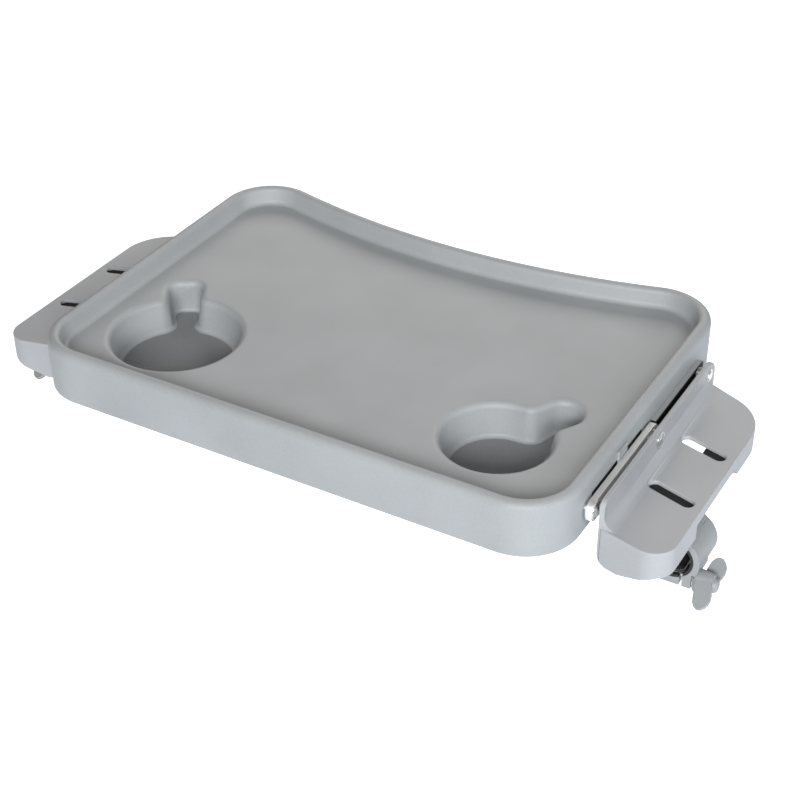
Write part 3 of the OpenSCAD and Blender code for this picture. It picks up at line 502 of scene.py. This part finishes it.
# %% Tree for a row of ribs
def rib_tree():
    tree = bpy.data.node_groups.new("rib_row", "GeometryNodeTree")
    face = tree.interface
    face.new_socket("Geometry", in_out="OUTPUT", socket_type="NodeSocketGeometry")
    for name, kind in (("Count", "Int"), ("Pitch", "Float"), ("Length", "Float"),
                       ("Thickness", "Float"), ("Height", "Float"), ("Material", "Material")):
        face.new_socket(name, in_out="INPUT", socket_type="NodeSocket" + kind)
    given = add(tree, "NodeGroupInput")
    # The row is centred: it starts half of (Count - 1) pitches before the middle
    step = add(tree, "ShaderNodeCombineXYZ", links={"X": (given, "Pitch")})
    last = add(tree, "ShaderNodeMath", {1: 1.0}, {0: (given, "Count")}, operation="SUBTRACT")
    half = add(tree, "ShaderNodeMath", {1: -0.5}, {0: (last, 0)}, operation="MULTIPLY")
    first = add(tree, "ShaderNodeMath", links={0: (half, 0), 1: (given, "Pitch")},
                operation="MULTIPLY")
    start = add(tree, "ShaderNodeCombineXYZ", links={"X": (first, 0)})
    row = add(tree, "GeometryNodeMeshLine",
              links={"Count": (given, "Count"), "Offset": (step, "Vector"),
                     "Start Location": (start, "Vector")}, mode="OFFSET")
    size = add(tree, "ShaderNodeCombineXYZ",
               links={"X": (given, "Thickness"), "Y": (given, "Length"), "Z": (given, "Height")})
    bar = add(tree, "GeometryNodeMeshCube", links={"Size": (size, "Vector")})
    placed = add(tree, "GeometryNodeInstanceOnPoints",
                 links={"Points": (row, "Mesh"), "Instance": (bar, "Mesh")})
    real = add(tree, "GeometryNodeRealizeInstances", links={"Geometry": (placed, "Instances")})
    dressed = add(tree, "GeometryNodeSetMaterial",
                  links={"Geometry": (real, "Geometry"), "Material": (given, "Material")})
    add(tree, "NodeGroupOutput", links={"Geometry": (dressed, "Geometry")})
    return tree


rib_row = rib_tree()
print("nodes in the tree:", len(rib_row.nodes))

# %% [markdown]
# The bars run past the tray on all sides. A flat plate with the tray's plan, and with
# holes for the wells, trims them. The ribs' tops and the plate's lie at two different
# heights inside the floor, because the Boolean that trims them can lose faces where two
# solids share a plane.

# %% Ribs, trimmed to the tray
RIB_PITCH, RIB_T, RIB_H, RIB_TOP = 45 * MM, 1.8 * MM, 10.0 * MM, -2.0 * MM
PLATE_LOW, PLATE_TOP = -14.0, -1.0
PLATE_INSET, PLATE_WELL_GAP = 1.6, 1.2


def plain_mesh(carrier, modifier):
    """The mesh that a modifier makes of its object, with the modifier taken off again."""
    graph = bpy.context.evaluated_depsgraph_get()
    data = bpy.data.meshes.new_from_object(carrier.evaluated_get(graph))
    carrier.modifiers.remove(modifier)
    for i in reversed([i for i, m in enumerate(data.materials) if m is None]):
        data.materials.pop(index=i)
    return data


def made_by_nodes(name, tree, inputs):
    """Runs a tree on an empty mesh and returns the result as a plain mesh object."""
    piece = bpy.data.objects.new(name, bpy.data.meshes.new(name))
    bpy.context.scene.collection.objects.link(piece)
    modifier = piece.modifiers.new("nodes", "NODES")
    modifier.node_group = tree
    for item in tree.interface.items_tree:
        if item.in_out == "INPUT" and item.name in inputs:
            modifier[item.identifier] = inputs[item.name]
    piece.data = plain_mesh(piece, modifier)
    return piece


def trim_plate():
    """A plate that ends inside the tray's wall, with holes that end inside the wells' walls."""
    bm = bmesh.new()
    prisms = []
    outlines = [(tray_outline(), -PLATE_INSET)] + [(w[0], PLATE_WELL_GAP) for w in WELLS]
    for points, grown in outlines:
        section = [(grown, PLATE_LOW), (grown, PLATE_TOP)]
        prisms.append(stack_rings(bm, points, [section] * len(points)))
    for end in (0, 1):
        fill_between(bm, prisms[0][end], [prism[end] for prism in prisms[1:]])
    return object_of(bm, "trim_plate", tray_abs)


# Name, number of ribs, length of a rib before the trim, and turn of the row
RIB_ROWS = (("ribs_across", 9, 310 * MM, 0), ("ribs_along", 7, 420 * MM, 90))
plate = trim_plate()
for name, count, length, turn in RIB_ROWS:
    ribs = made_by_nodes(name, rib_row, {
        "Count": count, "Pitch": RIB_PITCH, "Length": length,
        "Thickness": RIB_T, "Height": RIB_H, "Material": tray_abs})
    middle = Matrix.Translation((0, 0, RIB_TOP - RIB_H / 2))
    ribs.data.transform(middle @ Matrix.Rotation(math.radians(turn), 4, "Z"))
    cut = ribs.modifiers.new("trim", "BOOLEAN")
    cut.operation, cut.solver, cut.object = "INTERSECT", "EXACT", plate
    ribs.data = plain_mesh(ribs, cut)
    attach(ribs, "tray")
    print(name, "faces:", len(ribs.data.polygons))
bpy.data.objects.remove(plate)

# %% [markdown]
# Inside each side wall a round boss backs the pivot of the link, and three small ones
# take the screws of the rail. Each boss starts within the wall, so the two join.

# %% Bosses inside the side walls
SIDES = (("right", 1), ("left", -1))
PIVOT_Z, FRONT_PIN_Y, SLIDE_END_Y, SLIDE_TRAVEL = -10.0, -102.0, 73.0, 71.0
SCREWS_Y = [SLIDE_END_Y - SLIDE_TRAVEL + SLIDE_TRAVEL * (i + 0.5) / 3 for i in range(3)]
PIVOT_BOSS_R, SCREW_BOSS_R = 8.0, 3.8
BOSS_X, BOSS_L = SIDE_X - 0.75 * WALL, 4.0 + WALL / 2

bm = bmesh.new()
for side, sign in SIDES:
    for r, y in [(PIVOT_BOSS_R, FRONT_PIN_Y)] + [(SCREW_BOSS_R, y) for y in SCREWS_Y]:
        middle = Vector((sign * (BOSS_X - BOSS_L / 2), y, PIVOT_Z)) * MM
        place = Matrix.Translation(middle) @ Matrix.Rotation(math.pi / 2, 4, "Y")
        bmesh.ops.create_cone(bm, cap_ends=True, segments=40, radius1=r * MM, radius2=r * MM,
                              depth=BOSS_L * MM, matrix=place)
bosses = object_of(bm, "side_bosses", tray_abs)
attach(bosses, "tray")
print("boss faces:", len(bosses.data.polygons))

# %% [markdown]
# The brackets, clamps and links are already right in shape, but a computed solid has
# knife-sharp edges, which a real moulding or a tumbled metal part never has. In a copy
# of each node, points that lie closer than 0.2 mm are merged and flat faces are joined.
# Then a Bevel modifier rounds the edges, which is what catches the light.
#
# The modifier's limit on overlap narrows all the roundings of a piece to what its
# shortest edge can take. On the brackets, whose edges show most, the limit is off, so
# their edges get the full width.

# %% Round the edges of the rigid pieces
MERGE_GAP, FLAT_ANGLE, EDGE_ANGLE = 0.2 * MM, 0.6, 32
BODY_OF = {n: b for b, members in frame["record"]["behaviour"]["bodies"].items() for n in members}


def round_edges(piece, width_mm, segments, angle):
    """A Bevel on every edge that turns by more than the angle, in degrees."""
    bevel = piece.modifiers.new("edge", "BEVEL")
    bevel.width, bevel.segments = width_mm * MM, segments
    bevel.limit_method, bevel.angle_limit = "ANGLE", math.radians(angle)
    bevel.harden_normals = True
    return bevel


def rounded_copy(node, round_mm, material, limit_overlap):
    bm = bmesh.new()
    bm.from_mesh(frame["nodes"][node].data)
    bmesh.ops.remove_doubles(bm, verts=bm.verts, dist=MERGE_GAP)
    bmesh.ops.dissolve_limit(bm, angle_limit=math.radians(FLAT_ANGLE), verts=bm.verts,
                             edges=bm.edges)
    piece = object_of(bm, node + "_finished", material, EDGE_ANGLE)
    bevel = round_edges(piece, round_mm, segments=2, angle=EDGE_ANGLE)
    bevel.miter_outer = "MITER_ARC"
    bevel.use_clamp_overlap = limit_overlap
    piece.data = plain_mesh(piece, bevel)
    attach(piece, BODY_OF[node])
    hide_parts(node)
    return piece


# %% [markdown]
# Each kind of piece gets its material and the width of its rounding in millimetres.
# Mouldings, rubber and the bolt's chamfered end are rounded most, the sheared and tumbled
# bars a little less, and washers and rivets least.

# %% Finish each kind of piece
FINISHES = [
    (bracket_abs, {"bracket": 0.45}),
    (clamp_nylon, {"clamp_body": 0.5, "clamp_jaw": 0.5}),
    (tray_abs, {"guide_pad": 0.4, "slide_rail": 0.3}),
    (link_steel, {"link_bar": 0.35}),
    (washer_zinc, {"pivot_washer": 0.2, "link_spacer": 0.2, "pin_bushing": 0.2,
                   "clamp_nut": 0.25, "clamp_washer": 0.15}),
    (rivet_nickel, {"front_rivet": 0.15, "middle_rivet": 0.15, "slide_pin": 0.15,
                    "rail_screws": 0.1, "clamp_screws": 0.3, "jaw_pin": 0.3,
                    "clamp_bolt": 0.4}),
    (black_rubber, {"shelf_pad": 0.5, "clamp_gasket": 0.3, "fixed_liner": 0.3,
                    "moving_liner": 0.3}),
]
finished = {}
for material, kinds in FINISHES:
    for kind, round_mm in kinds.items():
        for side, sign in SIDES:
            node = kind + "_" + side
            finished[node] = rounded_copy(node, round_mm, material,
                                          limit_overlap=kind != "bracket")
print("finished:", len(finished), "faces:", sum(len(p.data.polygons) for p in finished.values()))

# %% [markdown]
# The rails' outer faces are painted black as the shade in the narrow gap beside each
# bracket's upright. The grooves, where the pins slide, have a black dry-film coat, which
# also paints that shade. A thin black strip on the tray's side is painted shade as well,
# and shows as a dark line beside the bar.

# %% Running faces, and strips painted black as shade
GROOVE_HALF = 2.6
# A thin black strip beside each link, painted shade for the dark gap there.
SHADE_STRIP_SIZE, SHADE_STRIP_X, SHADE_STRIP_Y, SHADE_STRIP_Z = (0.7, 76.0, 5.0), SIDE_X + 0.1, -57.5, -5.2

for side, sign in SIDES:
    rail = finished["slide_rail_" + side].data
    rail.materials.append(dry_film_and_painted_shade)
    for face in rail.polygons:
        # The outer face is painted black as shade; the groove has dry film that also paints
        # shade.
        outer = sign * face.center.x > (SIDE_X + 1.0) * MM and sign * face.normal.x > 0.5
        if outer or abs(face.center.z - PIVOT_Z * MM) < GROOVE_HALF * MM:
            face.material_index = 1
    bm = bmesh.new()
    bmesh.ops.create_cube(bm, size=1.0)
    bmesh.ops.scale(bm, vec=Vector(SHADE_STRIP_SIZE) * MM, verts=bm.verts)
    bmesh.ops.translate(bm, vec=Vector((sign * SHADE_STRIP_X, SHADE_STRIP_Y, SHADE_STRIP_Z)) * MM, verts=bm.verts)
    strip = object_of(bm, "shade_strip_" + side, dry_film_and_painted_shade)
    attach(strip, "tray")
    print(side, "rail faces with dry film:", sum(f.material_index == 1 for f in rail.polygons))

# %% [markdown]
# The wing knob is a soft, full shape that a thumb can push: a turned hub with a small
# rounded nose, and two broad wings. The hub is a profile spun round the bolt's axis. Each
# wing is a flat outline with some thickness that leaves the hub along its tangent, one at
# the front and one at the back, and a Bevel rounds them as it does the other pieces.

# %% Wing knobs
KNOB_PLACE, WING_TURN, WING_FACES = (261.7, -54.0, -79.3), 35.0, (-7.7, -4.3)
NOSE_X, NOSE_R, NOSE_FLAT = 12.5, 3.1, 2.1
HUB_STEPS, KNOB_ROUND = 48, 1.1
# (distance along the axis, radius) for the hub, and for the edge of a wing
HUB = [(0.0, 7.2), (0.25, 7.75), (0.8, 8.0), (2.2, 8.0), (10.4, 7.6), (11.4, 7.3),
       (12.0, 6.6), (12.1, 5.5)]
HUB += [(NOSE_X + NOSE_R * math.sin(math.radians(a)),
         NOSE_FLAT + NOSE_R * math.cos(math.radians(a))) for a in range(0, 91, 10)]
WING = [(1.4, 0.0), (1.8, 7.0), (3.2, 9.0), (3.8, 12.8), (4.8, 16.6), (6.6, 19.2), (8.8, 20.3),
        (11.2, 19.9), (13.4, 18.0), (15.0, 15.2), (15.5, 12.0), (15.0, 8.6), (13.6, 4.8),
        (11.8, 0.0)]


def closed_stack(bm, rings):
    join_rings(bm, rings)
    bm.faces.new(rings[0])
    bm.faces.new(rings[-1])


def wing_knob(side, sign):
    bm = bmesh.new()
    angles = [2 * math.pi * i / HUB_STEPS for i in range(HUB_STEPS)]
    closed_stack(bm, [[bm.verts.new((x, r * math.cos(a), r * math.sin(a))) for a in angles]
                      for x, r in HUB])
    for turn in (WING_TURN, WING_TURN + 180):
        spin = Matrix.Rotation(math.radians(turn), 3, "X")
        closed_stack(bm, [[bm.verts.new(spin @ Vector((x, r, t))) for x, r in WING]
                          for t in WING_FACES])
    x, y, z = KNOB_PLACE
    place = Matrix.Scale(MM, 4) @ Matrix.Translation((sign * x, y, z))
    bmesh.ops.transform(bm, matrix=place @ Matrix.Diagonal((sign, 1, 1, 1)), verts=bm.verts)
    knob = object_of(bm, "wing_knob_" + side + "_finished", clamp_nylon, 35)
    knob.data = plain_mesh(knob, round_edges(knob, KNOB_ROUND, segments=3, angle=40))
    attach(knob, "knob_" + side)
    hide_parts("wing_knob_" + side)
    print(knob.name, "faces:", len(knob.data.polygons))


for side, sign in SIDES:
    wing_knob(side, sign)

# %% [markdown]
# The photograph has a white background and almost no shadow. A tray like this rides at
# hip height, so the floor lies well below it, and its shadow spreads out and fades. The
# floor is a pale matt paint, which mirrors nothing, and camera rays see it a little
# brighter, up to white.

# %% Floor and backdrop
FLOOR_Z, FLOOR_HALF, FLOOR_GLOW = -0.62, 9.0, 0.78


def seen_white(tree, strength):
    """The strength of an emission that only the camera, mirrors and clear materials see."""
    path = add(tree, "ShaderNodeLightPath")
    either = add(tree, "ShaderNodeMath",
                 links={0: (path, "Is Camera Ray"), 1: (path, "Is Glossy Ray")},
                 operation="MAXIMUM")
    seen = add(tree, "ShaderNodeMath", links={0: (either, 0), 1: (path, "Is Transmission Ray")},
               operation="MAXIMUM")
    return add(tree, "ShaderNodeMath", {1: strength}, {0: (seen, 0)}, operation="MULTIPLY")


floor_material, tree = new_material("painted_floor")
surface = add(tree, "ShaderNodeBsdfPrincipled",
              {"Base Color": linear("#dde4ec"), "Roughness": 0.9, "Emission Color": (1, 1, 1, 1)},
              {"Emission Strength": (seen_white(tree, FLOOR_GLOW), 0)})
add(tree, "ShaderNodeOutputMaterial", links={"Surface": (surface, "BSDF")})

bm = bmesh.new()
bmesh.ops.create_grid(bm, x_segments=8, y_segments=8, size=FLOOR_HALF)
floor = object_of(bm, "floor", floor_material)
floor.data.transform(Matrix.Translation((0, 0, FLOOR_Z)))
print("floor at", FLOOR_Z, "m, half width", FLOOR_HALF, "m")

# %% [markdown]
# In the photograph faces that look up are darker than faces that look at the camera. So
# the main light is a broad soft one in front of the tray and only 25 degrees above it. A
# weaker, bluer one at the right reaches the brackets, and a warm one behind gives the
# rim its light edge.

# %% Lights
def from_the(azimuth, elevation, distance):
    a, e = math.radians(azimuth), math.radians(elevation)
    return Vector((distance * math.cos(e) * math.sin(a), -distance * math.cos(e) * math.cos(a),
                   distance * math.sin(e)))


def soft_light(name, place, width, height, watts, colour):
    """A rectangular light that faces the middle of the tray."""
    data = bpy.data.lights.new(name, "AREA")
    data.shape, data.size, data.size_y, data.energy = "RECTANGLE", width, height, watts
    data.color = colour
    lamp = bpy.data.objects.new(name, data)
    bpy.context.scene.collection.objects.link(lamp)
    lamp.location = place
    lamp.rotation_euler = place.to_track_quat("Z", "Y").to_euler()
    print(name, "at", [round(c, 2) for c in place], "m,", watts, "W")


soft_light("key_light", from_the(24, 25, 2.7), 1.8, 0.7, 78, (0.96, 0.985, 1.0))
soft_light("side_light", from_the(82, 16, 2.4), 1.4, 0.8, 20, (0.88, 0.94, 1.0))
soft_light("back_light", from_the(200, 24, 2.6), 2.4, 0.8, 30, (1.0, 0.97, 0.94))

# %% [markdown]
# The world adds the even light of a white room, and camera rays see it as plain white.

# %% World
WORLD_STRENGTH = 0.2
world = bpy.data.worlds.new("studio")
bpy.context.scene.world = world
world.use_nodes = True
tree = world.node_tree
tree.nodes.clear()
even = add(tree, "ShaderNodeBackground",
           {"Color": (1.0, 0.985, 0.97, 1), "Strength": WORLD_STRENGTH})
white = add(tree, "ShaderNodeBackground", {"Color": (1, 1, 1, 1), "Strength": 1.0})
path = add(tree, "ShaderNodeLightPath")
mixed = add(tree, "ShaderNodeMixShader",
            links={0: (path, "Is Camera Ray"), 1: (even, "Background"), 2: (white, "Background")})
add(tree, "ShaderNodeOutputWorld", links={"Surface": (mixed, "Shader")})

bpy.context.scene.view_settings.view_transform = "Standard"
print("world strength:", WORLD_STRENGTH)
